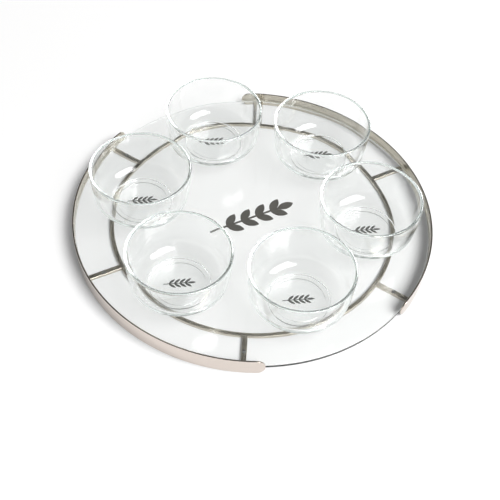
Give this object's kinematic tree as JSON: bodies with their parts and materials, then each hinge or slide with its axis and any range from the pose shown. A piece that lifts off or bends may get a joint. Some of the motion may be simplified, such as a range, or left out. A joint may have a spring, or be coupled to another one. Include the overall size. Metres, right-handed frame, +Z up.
{
  "type": "seder plate",
  "caption": "Round clear glass plate in a low steel stand with side bands, a ring and spokes, carrying loose glass bowls around a leaf sprig.",
  "frame": {"origin": "on the table, under the centre of the plate", "axes": "+Z up, +X towards the right band, +Y towards the open back of the stand; the sprig reads along +X"},
  "size_m": [0.36, 0.3556, 0.0595],
  "materials": {
    "satin_steel": "satin brushed stainless steel, slightly warm",
    "plate_glass": "clear float glass with a polished edge",
    "bowl_glass": "clear pressed glass, glossy",
    "sprig_metal": "dark satin grey metal",
    "clear_silicone": "clear soft silicone"
  },
  "bodies": {
    "stand": {"left_band": "satin_steel", "right_band": "satin_steel", "inner_ring": "satin_steel", "spoke_right": "satin_steel", "spoke_back_right": "satin_steel", "spoke_back_left": "satin_steel", "spoke_left": "satin_steel", "spoke_front_left": "satin_steel", "spoke_front_right": "satin_steel", "pad_right": "clear_silicone", "pad_back_right": "clear_silicone", "pad_back_left": "clear_silicone", "pad_left": "clear_silicone", "pad_front_left": "clear_silicone", "pad_front_right": "clear_silicone"},
    "plate": {"glass_plate": "plate_glass", "leaf_sprig": "sprig_metal"},
    "bowl_back_right": {"bowl_back_right": "bowl_glass"},
    "bowl_back": {"bowl_back": "bowl_glass"},
    "bowl_back_left": {"bowl_back_left": "bowl_glass"},
    "bowl_front_left": {"bowl_front_left": "bowl_glass"},
    "bowl_front": {"bowl_front": "bowl_glass"},
    "bowl_front_right": {"bowl_front_right": "bowl_glass"}
  },
  "joints": [
    {"name": "plate_lift", "type": "slide", "parent": "stand", "child": "plate", "axis": [0, 0, 1], "range_m": [0, 0.03]},
    {"name": "bowl_back_right_lift", "type": "slide", "parent": "plate", "child": "bowl_back_right", "axis": [0, 0, 1], "range_m": [0, 0.06]},
    {"name": "bowl_back_lift", "type": "slide", "parent": "plate", "child": "bowl_back", "axis": [0, 0, 1], "range_m": [0, 0.06]},
    {"name": "bowl_back_left_lift", "type": "slide", "parent": "plate", "child": "bowl_back_left", "axis": [0, 0, 1], "range_m": [0, 0.06]},
    {"name": "bowl_front_left_lift", "type": "slide", "parent": "plate", "child": "bowl_front_left", "axis": [0, 0, 1], "range_m": [0, 0.06]},
    {"name": "bowl_front_lift", "type": "slide", "parent": "plate", "child": "bowl_front", "axis": [0, 0, 1], "range_m": [0, 0.06]},
    {"name": "bowl_front_right_lift", "type": "slide", "parent": "plate", "child": "bowl_front_right", "axis": [0, 0, 1], "range_m": [0, 0.06]}
  ]
}
